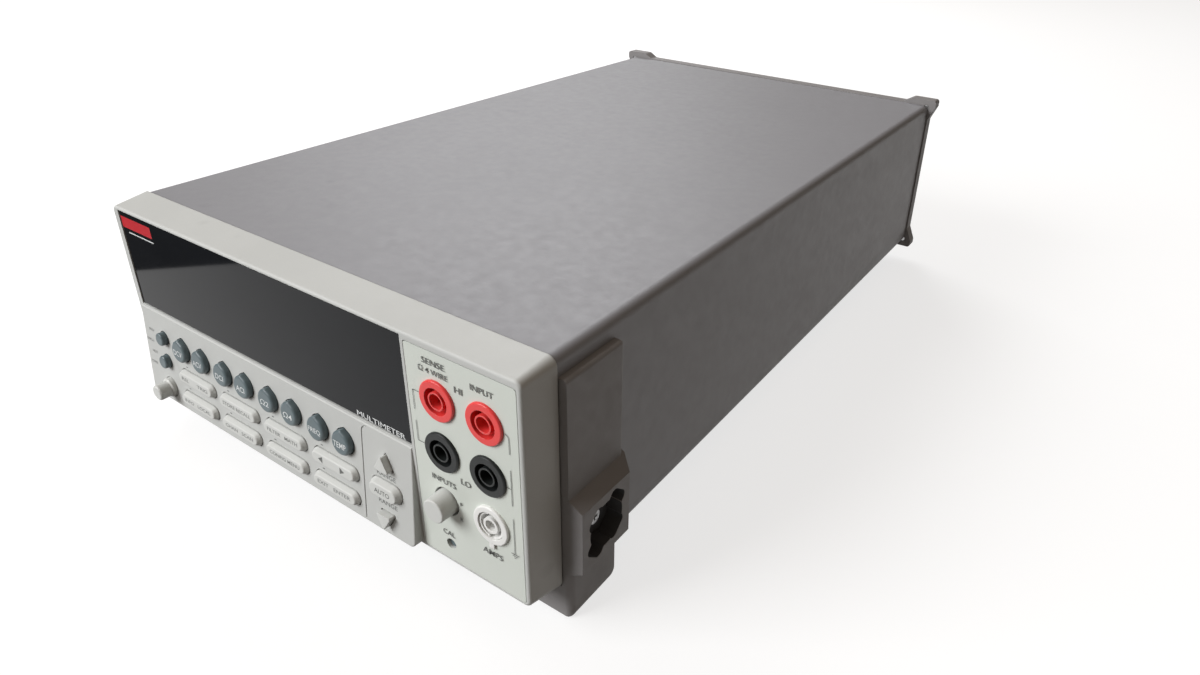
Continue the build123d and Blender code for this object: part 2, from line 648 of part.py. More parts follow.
with BuildPart() as rear_bezel:
    with BuildSketch(at_depth(SLEEVE_REAR + SLEEVE_GAP, MIDDLE)):
        # a quarter of the outline, with its bumper, mirrored both ways
        with BuildLine():
            Polyline(
                (0, HALF_H), (HALF_W - BUMPER_WIDTH - BUMPER_SLOPE, HALF_H),
                (HALF_W - BUMPER_WIDTH, HALF_H + BUMPER_UP), (HALF_W + BUMPER_OUT, HALF_H + BUMPER_UP),
                (HALF_W + BUMPER_OUT, HALF_H - 1), (HALF_W, HALF_H - BUMPER_DROP),
                (HALF_W, 0), (0, 0), close=True,
            )
        make_face()
        mirror(about=Plane.YZ)
        mirror(about=Plane.XZ)
        fillet(vertices().group_by(lambda v: abs(v.X))[-1], 1.6)
        fillet(vertices().filter_by(lambda v: 85 < abs(v.X) < 97), 3)
        RectangleRounded(2 * SIDE - 8, 2 * HALF_H - 8.6, 3, mode=Mode.SUBTRACT)
    extrude(amount=SLEEVE_REAR + SLEEVE_GAP - REAR)
    rim = rear_bezel.faces().sort_by(Axis.Y)[-1].outer_wire().edges()
    fillet(rim, 1.0)
    # counterbored screws in the corners
    with BuildSketch(at_depth(REAR, MIDDLE)):
        with Locations(*((i * BEZEL_SCREW_AT[0], j * BEZEL_SCREW_AT[1]) for i in (-1, 1) for j in (-1, 1))):
            Circle(SCREW_HOLE_R)
    extrude(amount=10, mode=Mode.SUBTRACT)
    with BuildSketch(at_depth(REAR, MIDDLE)):
        with Locations(*((i * BEZEL_SCREW_AT[0], j * BEZEL_SCREW_AT[1]) for i in (-1, 1) for j in (-1, 1))):
            Circle(SCREW_HEAD_R + 0.1)
    extrude(amount=2.4, mode=Mode.SUBTRACT)
save(rear_bezel, "rear_bezel")

# ---------------------------------------------------------------- rear panel and what is fitted to it
PANEL_FACE = PANEL_DEPTH + PANEL_WALL
INLET_AT = (-80.0, 45.0)
INLET_SIZE = (27.0, 47.0)
INLET_FLANGE = (31.0, 52.0)
INLET_REAR = PANEL_FACE + 2.5
INLET_FRONT = 330.0
SOCKET_HEIGHT = INLET_AT[1] - 11.0
DRAWER_HEIGHT = INLET_AT[1] + 14.0
MAINS_SOCKET = (24.0, 16.6)
DRAWER = (21.4, 13.4)
BUS_AT = (-12.0, 20.0)
BUS_SIZE = (50.0, 14.0)
BUS_REAR = PANEL_FACE + 8.0
COAX_X = (-48.0, -24.0)
COAX_HEIGHT = 60.0
COAX_R = 4.83
COVER_AT = (20.0, 60.0)
COVER_SIZE = (54.0, 26.0)
COVER = 1.2
COVER_SCREWS = (COVER_AT[0] - 23, COVER_AT[0] + 23)

with BuildPart() as rear_panel:
    with BuildSketch(at_depth(PANEL_DEPTH, MIDDLE)):
        RectangleRounded(2 * (SIDE - SLEEVE_WALL) - 0.6, SLEEVE_TOP - 2 * SLEEVE_WALL - 1.1, 2.0)
    extrude(amount=-PANEL_WALL)
    with BuildSketch(at_depth(PANEL_DEPTH)):
        with Locations(INLET_AT):
            Rectangle(INLET_SIZE[0] + 0.4, INLET_SIZE[1] + 0.4)
        with Locations(BUS_AT):
            Rectangle(BUS_SIZE[0] + 0.4, BUS_SIZE[1] + 0.4)
        for x in COAX_X:
            with Locations((x, COAX_HEIGHT)):
                Circle(4.9)
        for x in COVER_SCREWS:
            with Locations((x, COVER_AT[1])):
                Circle(SCREW_HOLE_R)
        with Locations(COVER_AT):
            Rectangle(COVER_SIZE[0] - 14, COVER_SIZE[1] - 8)
        for column in range(2):
            for front_height, rear_height in JACK_ROWS.values():
                with Locations((REAR_JACK_X + column * JACK_PITCH, rear_height)):
                    Circle(JACK_BARREL + 0.1)
    extrude(amount=-PANEL_WALL, mode=Mode.SUBTRACT)
save(rear_panel, "rear_panel")

with BuildPart() as mains_inlet:
    with BuildSketch(at_depth(INLET_FRONT)):
        with Locations(INLET_AT):
            Rectangle(*INLET_SIZE)
    extrude(amount=INLET_FRONT - PANEL_FACE)
    with BuildSketch(at_depth(PANEL_FACE)):
        with Locations(INLET_AT):
            RectangleRounded(*INLET_FLANGE, 2)
    extrude(amount=PANEL_FACE - INLET_REAR)
    # cavity for the mains plug, with two corners cut off
    with BuildSketch(at_depth(INLET_REAR)):
        with Locations((INLET_AT[0], SOCKET_HEIGHT)):
            Rectangle(*MAINS_SOCKET)
        chamfer(vertices().group_by(Axis.Y)[-1], 4.5)
    extrude(amount=16, mode=Mode.SUBTRACT)
    # cavity for the fuse drawer
    with BuildSketch(at_depth(INLET_REAR)):
        with Locations((INLET_AT[0], DRAWER_HEIGHT)):
            Rectangle(DRAWER[0] + 0.6, DRAWER[1] + 0.6)
    extrude(amount=22, mode=Mode.SUBTRACT)
save(mains_inlet, "mains_inlet")

with BuildPart() as mains_pins:
    with BuildSketch(at_depth(INLET_REAR - 16)):
        for x, rise in ((-7, -1.5), (7, -1.5), (0, 2.5)):
            with Locations((INLET_AT[0] + x, SOCKET_HEIGHT + rise)):
                Rectangle(2, 4)
    extrude(amount=-11.5)
save(mains_pins, "mains_pins")

with BuildPart() as fuse_drawer:
    with BuildSketch(at_depth(INLET_REAR - 20)):
        with Locations((INLET_AT[0], DRAWER_HEIGHT)):
            Rectangle(*DRAWER)
    extrude(amount=-20.3)
    with BuildSketch(at_depth(INLET_REAR + 0.3)):
        with Locations((INLET_AT[0], DRAWER_HEIGHT)):
            RectangleRounded(DRAWER[0] + 2.4, DRAWER[1] + 2.4, 1)
    extrude(amount=-2.2)
    # finger notch, and room for two fuses
    with BuildSketch(at_depth(INLET_REAR + 1.2)):
        with Locations((INLET_AT[0], DRAWER_HEIGHT - 5.5)):
            Rectangle(8, 3)
    extrude(amount=-2, mode=Mode.SUBTRACT)
    with BuildSketch(at_depth(INLET_REAR - 20)):
        with Locations((INLET_AT[0] - 5, DRAWER_HEIGHT), (INLET_AT[0] + 5, DRAWER_HEIGHT)):
            Circle(2.7)
    extrude(amount=-16, mode=Mode.SUBTRACT)
save(fuse_drawer, "fuse_drawer")

with BuildPart() as bus_connector:
    with BuildSketch(at_depth(PANEL_DEPTH - 6)):
        with Locations(BUS_AT):
            Rectangle(*BUS_SIZE)
    extrude(amount=PANEL_DEPTH - 6 - BUS_REAR)
    # D-shaped mouth round a tongue that carries the contacts
    with BuildSketch(at_depth(BUS_REAR)):
        with Locations(BUS_AT):
            Trapezoid(36, 9.4, 80, rotation=180)
            Rectangle(29, 3.2, mode=Mode.SUBTRACT)
    extrude(amount=7, mode=Mode.SUBTRACT)
    with BuildSketch(at_depth(BUS_REAR)):
        with Locations((BUS_AT[0] - 22, BUS_AT[1]), (BUS_AT[0] + 22, BUS_AT[1])):
            Circle(1.6)
    extrude(amount=8, mode=Mode.SUBTRACT)
save(bus_connector, "bus_connector")

with BuildPart() as coaxial_sockets:
    for x in COAX_X:
        rod(x, COAX_HEIGHT, (PANEL_DEPTH - 8, PANEL_FACE + 11), COAX_R)
        rod(x, COAX_HEIGHT, (PANEL_FACE, PANEL_FACE + 2.5), 7.2)
        rod(x, COAX_HEIGHT, (PANEL_FACE + 3, PANEL_FACE + 12), 4.1, Mode.SUBTRACT)
        rod(x, COAX_HEIGHT, (PANEL_FACE + 2, PANEL_FACE + 10), 1.1)
        with BuildSketch(at_height(COAX_HEIGHT - 5.8)):
            with Locations((x, FACE_Y + PANEL_FACE + 8)):
                Circle(0.95)
        with BuildSketch(at_height(COAX_HEIGHT + 4.4)):
            with Locations((x, FACE_Y + PANEL_FACE + 8)):
                Circle(0.95)
        extrude(amount=1.4)
save(coaxial_sockets, "coaxial_sockets")

with BuildPart() as option_cover:
    with BuildSketch(at_depth(PANEL_FACE)):
        with Locations(COVER_AT):
            RectangleRounded(*COVER_SIZE, 1.5)
        with Locations(*((x, COVER_AT[1]) for x in COVER_SCREWS)):
            Circle(SCREW_HOLE_R, mode=Mode.SUBTRACT)
    extrude(amount=-COVER)
save(option_cover, "option_cover")

SCREW_LENGTH = 5.0
SCREW_HEAD = 1.8


def screw(seat):
    """A cross-recess pan-head screw on a plane that is the seat of its head, normal outwards."""
    with BuildSketch(seat) as shank:
        Circle(SCREW_R)
    extrude(shank.sketch, amount=-SCREW_LENGTH)
    with BuildSketch(seat) as head:
        Circle(SCREW_HEAD_R)
    extrude(head.sketch, amount=SCREW_HEAD)
    with BuildSketch(seat.offset(SCREW_HEAD)) as recess:
        Rectangle(3.0, 0.7)
        Rectangle(0.7, 3.0)
    extrude(recess.sketch, amount=-0.9, mode=Mode.SUBTRACT)


with BuildPart() as cover_screws:
    for side in (-1, 1):
        screw(Plane(
            origin=(side * SOCKET_FLOOR, FACE_Y + SOCKET_AT[0], FOOT + SOCKET_AT[1]),
            x_dir=(0, 1, 0), z_dir=(side, 0, 0),
        ))
        for rise in (-1, 1):
            screw(Plane(
                origin=(
                    side * BEZEL_SCREW_AT[0],
                    FACE_Y + REAR - 2.4,
                    FOOT + MIDDLE + rise * BEZEL_SCREW_AT[1],
                ),
                x_dir=(1, 0, 0), z_dir=(0, 1, 0),
            ))
    for x in COVER_SCREWS:
        screw(Plane(
            origin=(x, FACE_Y + PANEL_FACE + COVER, FOOT + COVER_AT[1]), x_dir=(1, 0, 0), z_dir=(0, 1, 0),
        ))
save(cover_screws, "cover_screws")

# ---------------------------------------------------------------- chassis and boards
CHASSIS_SIDE = SIDE - SLEEVE_WALL - 0.7
CHASSIS_RANGE = (16.0, PANEL_DEPTH)
LOWER_BOARD = 15.0
UPPER_BOARD = 52.0
BOARD = 1.6
BOARD_REACH = (45.0, 258.0)
POSTS = [(-70, 60), (90, 60), (-70, 240), (90, 240), (10, 60), (10, 240)]

with BuildPart() as chassis:
    block((-CHASSIS_SIDE, CHASSIS_SIDE), CHASSIS_RANGE, (CHASSIS_FLOOR, CHASSIS_FLOOR + SHEET))
    block((-CHASSIS_SIDE, -CHASSIS_SIDE + SHEET), CHASSIS_RANGE, (CHASSIS_FLOOR, 40))
    block((CHASSIS_SIDE - SHEET, CHASSIS_SIDE), CHASSIS_RANGE, (CHASSIS_FLOOR, 40))
    with BuildSketch(across(0)):
        with Locations(SOCKET_AT):
            Circle(SCREW_HOLE_R)
    extrude(amount=WIDTH, both=True, mode=Mode.SUBTRACT)
save(chassis, "chassis")

with BuildPart() as main_board:
    block((-80, 102), BOARD_REACH, (LOWER_BOARD, LOWER_BOARD + BOARD))
    # integrated circuits
    for x, depth in ((-50, 110), (-50, 150), (-10, 110), (-10, 150), (40, 110), (40, 150), (75, 120)):
        block((x, x + 15), (depth, depth + 22), (LOWER_BOARD + BOARD, LOWER_BOARD + BOARD + 3.5))
save(main_board, "main_board")

with BuildPart() as analog_board:
    block((-98, 102), BOARD_REACH, (UPPER_BOARD, UPPER_BOARD + BOARD))
    # relays and converters
    for x, depth in ((40, 60), (60, 60), (80, 60), (-60, 90), (-20, 90), (-60, 150), (20, 180)):
        block((x, x + 12), (depth, depth + 20), (UPPER_BOARD + BOARD, UPPER_BOARD + BOARD + 9))
save(analog_board, "analog_board")

with BuildPart() as board_posts:
    for base, top in ((CHASSIS_FLOOR + SHEET, LOWER_BOARD), (LOWER_BOARD + BOARD, UPPER_BOARD)):
        with BuildSketch(at_height(base)):
            with Locations(*((x, FACE_Y + depth) for x, depth in POSTS)):
                RegularPolygon(3.2, 6)
        extrude(amount=top - base)
save(board_posts, "board_posts")

# ---------------------------------------------------------------- mains transformer
CORE_X = (-68.0, -8.0)
CORE_DEPTH = (275.0, 313.0)
CORE_BASE = CHASSIS_FLOOR + SHEET
CORE_HEIGHT = 50.0
LIMB = 10.0
CORE_MIDDLE = (CORE_X[0] + CORE_X[1]) / 2
COIL_MARGIN = 0.2
WINDOW_WIDTH = (CORE_X[1] - CORE_X[0] - 4 * LIMB) / 2

with BuildPart() as transformer_core:
    block(CORE_X, CORE_DEPTH, (CORE_BASE, CORE_BASE + CORE_HEIGHT))
    for side in (-1, 1):
        centre = CORE_MIDDLE + side * (LIMB + WINDOW_WIDTH / 2)
        block(
            (centre - WINDOW_WIDTH / 2, centre + WINDOW_WIDTH / 2), CORE_DEPTH,
            (CORE_BASE + LIMB, CORE_BASE + CORE_HEIGHT - LIMB), Mode.SUBTRACT,
        )
save(transformer_core, "transformer_core")

with BuildPart() as transformer_coil:
    reach = LIMB + WINDOW_WIDTH - COIL_MARGIN
    with BuildSketch(at_height(CORE_BASE + LIMB + COIL_MARGIN)):
        with Locations((CORE_MIDDLE, FACE_Y + sum(CORE_DEPTH) / 2)):
            RectangleRounded(2 * reach, CORE_DEPTH[1] - CORE_DEPTH[0] + 2 * WINDOW_WIDTH, 5)
            Rectangle(
                2 * (LIMB + COIL_MARGIN), CORE_DEPTH[1] - CORE_DEPTH[0] + 2 * COIL_MARGIN, mode=Mode.SUBTRACT,
            )
    extrude(amount=CORE_HEIGHT - 2 * LIMB - 2 * COIL_MARGIN)
save(transformer_coil, "transformer_coil")
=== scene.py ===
import json
import math

import bmesh
import bpy
from mathutils import Matrix, Vector
from mathutils.bvhtree import BVHTree


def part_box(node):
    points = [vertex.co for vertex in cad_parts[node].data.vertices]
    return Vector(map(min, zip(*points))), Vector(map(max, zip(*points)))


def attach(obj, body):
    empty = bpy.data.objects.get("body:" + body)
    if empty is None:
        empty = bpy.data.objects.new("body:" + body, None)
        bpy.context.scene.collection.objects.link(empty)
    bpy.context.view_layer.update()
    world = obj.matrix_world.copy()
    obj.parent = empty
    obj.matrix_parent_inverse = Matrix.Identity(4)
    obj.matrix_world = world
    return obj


# A half-rack bench multimeter on a pale floor. Metres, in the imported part's frame:
# +X to the right of a person at the front panel, -Y out of the front, +Z up.
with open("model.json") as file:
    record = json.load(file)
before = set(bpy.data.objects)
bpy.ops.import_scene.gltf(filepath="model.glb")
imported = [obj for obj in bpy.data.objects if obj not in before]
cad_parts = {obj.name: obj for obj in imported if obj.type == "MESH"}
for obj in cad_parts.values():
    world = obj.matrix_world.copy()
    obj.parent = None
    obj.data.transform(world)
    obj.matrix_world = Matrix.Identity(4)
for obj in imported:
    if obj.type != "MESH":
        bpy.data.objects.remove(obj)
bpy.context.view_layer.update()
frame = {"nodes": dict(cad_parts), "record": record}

MM = 0.001
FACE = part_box("display_lens")[0].y - 0.35 * MM      # plane of the front face
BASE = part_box("front_bezel")[0].z                   # lowest line of the front bezel
TILT = math.atan2(3.5, 40.0)                        # lean of the keypad
KEYPAD_TOP = 43.0
KEYPAD_REACH = 0.3
PRINT_LIFT = 0.03                                   # how far ink stands off what it is printed on
PRINT_STEP = 0.45                                   # longest edge of ink laid on a curved cap

# Places on the face and the keypad, in mm
LENS_FACE = 0.35
PRINT_FACE = -0.1
FUNCTION_HEIGHT, FUNCTION_FIRST, FUNCTION_GROUP, FUNCTION_PAIR = 31.6, -75.1, 28.6, 13.6
ROCKER_FIRST, ROCKER_PITCH, ROCKER_ROWS = -66.3, 28.35, (20.0, 10.0)
KEY_LEVEL = 2.0                                     # where the legends start; they are dropped on the cap

# ---------------------------------------------------------------- materials


def link(tree, a, b):
    tree.links.new(a, b)


def node(tree, kind, **settings):
    made = tree.nodes.new(kind)
    for key, value in settings.items():
        setattr(made, key, value)
    return made


def noise(tree, coordinates, scale, detail=3.0, roughness=0.55):
    made = node(tree, "ShaderNodeTexNoise")
    made.inputs["Scale"].default_value = scale
    made.inputs["Detail"].default_value = detail
    made.inputs["Roughness"].default_value = roughness
    link(tree, coordinates, made.inputs["Vector"])
    return made.outputs["Fac"]


def remap(tree, value, low, high, to_low, to_high):
    made = node(tree, "ShaderNodeMapRange")
    for name, number in zip(("From Min", "From Max", "To Min", "To Max"), (low, high, to_low, to_high)):
        made.inputs[name].default_value = number
    link(tree, value, made.inputs["Value"])
    return made.outputs["Result"]


def mixed(tree, factor, a, b, blend="MIX"):
    """Mixes two colours; each is a socket or a colour, and so is the factor or a number."""
    made = node(tree, "ShaderNodeMix", data_type="RGBA", blend_type=blend)
    for socket, value in ((made.inputs[0], factor), (made.inputs[6], a), (made.inputs[7], b)):
        if isinstance(value, bpy.types.NodeSocket):
            link(tree, value, socket)
        else:
            socket.default_value = value
    return made.outputs[2]


def shade(colour, k):
    return tuple(min(1.0, c * k) for c in colour[:3]) + (1.0,)


def finish(name, colour, rough=0.5, grain=1500.0, bump=0.15, mottle=0.06, wear=0.0, metal=0.0,
           specks=0.0, round_off=0.3, stretch=None, ior=1.46):
    """A surface with grain, mottling, uneven gloss, worn edges and a few dark specks."""
    material = bpy.data.materials.new(name)
    material.use_nodes = True
    tree = material.node_tree
    shader = tree.nodes["Principled BSDF"]
    where = node(tree, "ShaderNodeTexCoord").outputs["Object"]
    if stretch:
        mapping = node(tree, "ShaderNodeMapping")
        mapping.inputs["Scale"].default_value = stretch
        link(tree, where, mapping.inputs["Vector"])
        fine_at = mapping.outputs["Vector"]
    else:
        fine_at = where
    fine = noise(tree, fine_at, grain, 2.0, 0.6)
    broad = noise(tree, where, 28.0, 5.0, 0.6)
    middle = noise(tree, where, 210.0, 4.0, 0.65)

    patches = remap(tree, broad, 0.3, 0.7, 0, 1)
    tint = mixed(tree, patches, shade(colour, 1 - mottle), shade(colour, 1 + mottle))
    tint = mixed(tree, remap(tree, fine, 0.35, 0.65, 0, 0.35), tint, shade(colour, 1 - 2 * mottle))
    if specks:
        dots = noise(tree, where, 95.0, 2.0, 0.4)
        tint = mixed(tree, remap(tree, dots, 0.70, 0.78, 0, specks), tint, shade(colour, 0.45))
    normal = None
    if round_off:
        bevel = node(tree, "ShaderNodeBevel", samples=4)
        bevel.inputs["Radius"].default_value = round_off * MM
        normal = bevel.outputs["Normal"]
        if wear:
            geometry = node(tree, "ShaderNodeNewGeometry")
            dot = node(tree, "ShaderNodeVectorMath", operation="DOT_PRODUCT")
            link(tree, normal, dot.inputs[0])
            link(tree, geometry.outputs["Normal"], dot.inputs[1])
            edge = remap(tree, dot.outputs["Value"], 1.0, 0.8, 0, 1)
            rubbed = node(tree, "ShaderNodeMath", operation="MULTIPLY")
            link(tree, edge, rubbed.inputs[0])
            link(tree, remap(tree, middle, 0.45, 0.65, 0, wear), rubbed.inputs[1])
            tint = mixed(tree, rubbed.outputs[0], tint, shade(colour, 1.35))
    relief = node(tree, "ShaderNodeBump")
    relief.inputs["Strength"].default_value = bump
    relief.inputs["Distance"].default_value = 0.1 * MM
    link(tree, fine, relief.inputs["Height"])
    if normal is not None:
        link(tree, normal, relief.inputs["Normal"])
    link(tree, tint, shader.inputs["Base Color"])
    gloss = remap(tree, middle, 0.3, 0.7, rough * 0.88, min(1.0, rough * 1.12))
    link(tree, gloss, shader.inputs["Roughness"])
    link(tree, relief.outputs["Normal"], shader.inputs["Normal"])
    shader.inputs["Metallic"].default_value = metal
    shader.inputs["IOR"].default_value = ior
    return material


LOOKS = {
    "bezel_plastic": finish("bezel_plastic", (0.525, 0.535, 0.52), 0.52, 2600, 0.10, 0.025, 0.3, specks=0.12),
    "ear_plastic": finish("ear_plastic", (0.235, 0.225, 0.225), 0.6, 2400, 0.12, 0.03, 0.35, specks=0.1),
    "overlay_film": finish("overlay_film", (0.63, 0.665, 0.615), 0.40, 3200, 0.05, 0.02, 0.0, round_off=0.1),
    "sleeve_paint": finish("sleeve_paint", (0.262, 0.262, 0.28), 0.50, 1500, 0.22, 0.02, 0.4, specks=0.1),
    "panel_paint": finish("panel_paint", (0.28, 0.28, 0.29), 0.5, 1500, 0.2, 0.04, 0.4),
    "foot_rubber": finish("foot_rubber", (0.05, 0.05, 0.052), 0.7, 1800, 0.2, 0.1),
    "mat_rubber": finish("mat_rubber", (0.12, 0.125, 0.13), 0.75, 1800, 0.2, 0.1),
    "board": finish("board", (0.03, 0.16, 0.07), 0.35, 900, 0.1, 0.15),
    "tube_glass": finish("tube_glass", (0.03, 0.035, 0.035), 0.1, 900, 0.0, 0.1),
    "key_plastic": finish("key_plastic", (0.10, 0.137, 0.15), 0.36, 3000, 0.08, 0.05, 0.25, round_off=0.45),
    "pale_key_plastic": finish("pale_key_plastic", (0.60, 0.61, 0.59), 0.45, 3000, 0.08, 0.03, 0.25,
                               round_off=0.45),
    "rod_plastic": finish("rod_plastic", (0.05, 0.05, 0.05), 0.5, 1800, 0.1, 0.1),
    "red_plastic": finish("red_plastic", (0.80, 0.05, 0.048), 0.32, 2200, 0.04, 0.04, 0.1),
    "black_plastic": finish("black_plastic", (0.012, 0.014, 0.014), 0.42, 2200, 0.05, 0.1, 0.1, ior=1.36),
    "white_plastic": finish("white_plastic", (0.82, 0.82, 0.80), 0.32, 2200, 0.04, 0.02),
    "contact_brass": finish("contact_brass", (0.72, 0.66, 0.50), 0.25, 2600, 0.1, 0.08, metal=1.0),
    "fuse_glass": finish("fuse_glass", (0.6, 0.63, 0.6), 0.12, 900, 0.0, 0.05),
    "connector_metal": finish("connector_metal", (0.62, 0.62, 0.60), 0.3, 1900, 0.15, 0.06, 0.3, metal=1.0),
    "screw_steel": finish("screw_steel", (0.52, 0.52, 0.52), 0.3, 2600, 0.15, 0.06, metal=1.0,
                          stretch=(1, 1, 8)),
    "chassis_steel": finish("chassis_steel", (0.55, 0.55, 0.54), 0.35, 1600, 0.15, 0.08, metal=1.0,
                            stretch=(1, 9, 1)),
    "core_iron": finish("core_iron", (0.10, 0.10, 0.105), 0.5, 2600, 0.3, 0.1, stretch=(0.2, 8, 0.2)),
    "coil_copper": finish("coil_copper", (0.42, 0.22, 0.07), 0.4, 1500, 0.3, 0.1, stretch=(0.2, 0.2, 6)),
    # smoked acrylic: near black, polished, with uneven gloss
    "smoked_lens": finish("smoked_lens", (0.008, 0.009, 0.011), 0.06, 2600, 0.0, 0.15, round_off=0.2,
                          ior=1.2),
}
INK = finish("ink", (0.12, 0.125, 0.12), 0.55, 3000, 0.02, 0.08, round_off=0)
GREY_INK = finish("grey_ink", (0.19, 0.195, 0.19), 0.55, 3000, 0.02, 0.08, round_off=0)
PALE_INK = finish("pale_ink", (0.72, 0.74, 0.74), 0.5, 3000, 0.02, 0.05, round_off=0)
RED_BADGE = finish("red_badge", (0.55, 0.02, 0.03), 0.38, 2600, 0.05, 0.06, round_off=0.2)

slots = {entry["node"]: entry["material_slot"] for entry in frame["record"]["subparts"]}
for name, piece in frame["nodes"].items():
    look = LOOKS[slots[name]]
    piece.data.materials.clear()
    piece.data.materials.append(look)

# ---------------------------------------------------------------- places on the face and the keypad


def on_face(x, height, depth=0.0):
    """Matrix of a place on the front face: x to the right, y up, z forward."""
    return Matrix((
        (1, 0, 0, x * MM),
        (0, 0, -1, FACE + depth * MM),
        (0, 1, 0, BASE + height * MM),
        (0, 0, 0, 1),
    ))


def on_keypad(x, height, level=0.0):
    reach = KEYPAD_REACH + (KEYPAD_TOP - height) * math.tan(TILT)
    y = FACE - (reach + level * math.cos(TILT)) * MM
    z = BASE + (height + level * math.sin(TILT)) * MM
    return Matrix((
        (1, 0, 0, x * MM),
        (0, math.sin(TILT), -math.cos(TILT), y),
        (0, math.cos(TILT), math.sin(TILT), z),
        (0, 0, 0, 1),
    ))


def piece_from(name, vertices, faces, place, material, body, on=None):
    """A mesh piece whose vertices are in mm in a place's own axes, laid on a CAD node if one is named."""
    points = [place @ Vector((x * MM, y * MM, z * MM)) for x, y, z in vertices]
    mesh = bpy.data.meshes.new(name)
    mesh.from_pydata(points, [], faces)
    if on:
        lay_on(mesh, on, place)
    mesh.materials.append(material)
    made = bpy.data.objects.new(name, mesh)
    bpy.context.scene.collection.objects.link(made)
    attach(made, body)
    return made


def lay_on(mesh, name, place):
    """Divides a flat mesh finely and drops it onto a CAD node, along the place's own z."""
    cad = frame["nodes"][name].data
    tree = BVHTree.FromPolygons([v.co for v in cad.vertices], [tuple(p.vertices) for p in cad.polygons])
    work = bmesh.new()
    work.from_mesh(mesh)
    bmesh.ops.triangulate(work, faces=work.faces[:])
    for _ in range(2):
        long_edges = [e for e in work.edges if e.calc_length() > PRINT_STEP * MM]
        bmesh.ops.subdivide_edges(work, edges=long_edges, cuts=1)
        bmesh.ops.triangulate(work, faces=work.faces[:])
    outward = place.to_3x3() @ Vector((0, 0, 1))
    for vertex in work.verts:
        hit = tree.ray_cast(vertex.co + outward * 6 * MM, -outward, 12 * MM)[0]
        if hit:
            vertex.co = hit + outward * PRINT_LIFT * MM
    work.to_mesh(mesh)
    work.free()


def letter_mesh(words, height, width, bold=0.0):
    """Vertices and faces of a line of text, centred, in mm, filling a given height and width."""
    curve = bpy.data.curves.new("text", "FONT")
    curve.body = words
    curve.size = height * 1.4
    curve.resolution_u = 3
    curve.offset = bold
    holder = bpy.data.objects.new("text", curve)
    bpy.context.scene.collection.objects.link(holder)
    graph = bpy.context.evaluated_depsgraph_get()
    mesh = bpy.data.meshes.new_from_object(holder.evaluated_get(graph))
    xs = [v.co.x for v in mesh.vertices]
    ys = [v.co.y for v in mesh.vertices]
    kx, ky = width / (max(xs) - min(xs)), height / (max(ys) - min(ys))
    cx, cy = (max(xs) + min(xs)) / 2, (max(ys) + min(ys)) / 2
    vertices = [((x - cx) * kx, (y - cy) * ky, PRINT_LIFT) for x, y in zip(xs, ys)]
    faces = [tuple(p.vertices) for p in mesh.polygons]
    bpy.data.objects.remove(holder)
    bpy.data.curves.remove(curve)
    bpy.data.meshes.remove(mesh)
    return vertices, faces


def lettering(name, words, height, width, place, material, body, at=(0, 0), on=None, bold=0.02):
    vertices, faces = letter_mesh(words, height, width, bold)
    vertices = [(x + at[0], y + at[1], z) for x, y, z in vertices]
    return piece_from(name, vertices, faces, place, material, body, on)


def rule(name, points, width, place, material, body):
    """A thin printed line through points, given in mm."""
    vertices, faces = [], []
    for (x0, y0), (x1, y1) in zip(points, points[1:]):
        length = math.hypot(x1 - x0, y1 - y0)
        nx, ny = -(y1 - y0) / length * width / 2, (x1 - x0) / length * width / 2
        first = len(vertices)
        corners = ((x0 + nx, y0 + ny), (x0 - nx, y0 - ny), (x1 - nx, y1 - ny), (x1 + nx, y1 + ny))
        vertices += [(x, y, PRINT_LIFT) for x, y in corners]
        faces.append((first, first + 1, first + 2, first + 3))
    return piece_from(name, vertices, faces, place, material, body)


# ---------------------------------------------------------------- printing on the terminal panel
PRINT = on_face(0, 0, PRINT_FACE)
for name, words, height, width, x, y in (
    ("print_sense", "SENSE", 2.1, 9.5, 71.6, 80.3), ("print_wires", "Ω 4 WIRE", 2.1, 12.2, 71.2, 77.1),
    ("print_hi", "HI", 2.2, 3.2, 81.3, 74.7), ("print_input", "INPUT", 2.1, 8.8, 90.7, 78.3),
    ("print_lo", "LO", 2.2, 4.2, 81.2, 40.6), ("print_inputs", "INPUTS", 2.1, 10.4, 71.4, 36.8),
    ("print_amps", "AMPS", 2.2, 8.4, 90.7, 17.4), ("print_cal", "CAL", 2.0, 5.4, 71.3, 15.1),
    ("print_front", "F", 1.5, 1.1, 78.4, 30.7), ("print_rear", "R", 1.5, 1.2, 78.0, 24.4),
):
    lettering(name, words, height, width, PRINT, INK, "case", at=(x, y))
for name, points in (
    ("left", ((64.1, 67.5), (61.4, 67.5), (61.4, 60.2))),
    ("left_low", ((61.4, 56.0), (61.4, 48.4), (64.1, 48.4))),
    ("right", ((98.7, 67.4), (99.7, 67.0), (100.2, 66.0), (100.2, 60.6))),
    ("right_mid", ((100.2, 54.9), (100.2, 41.6))), ("right_tick", ((98.4, 47.9), (100.2, 47.9))),
    ("right_low", ((100.2, 36.6), (100.2, 22.4))), ("ground_wide", ((98.6, 22.4), (101.8, 22.4))),
    ("ground_middle", ((99.2, 21.7), (101.2, 21.7))), ("ground_narrow", ((99.8, 21.0), (100.6, 21.0))),
):
    rule("print_" + name, points, 0.24, PRINT, INK, "case")

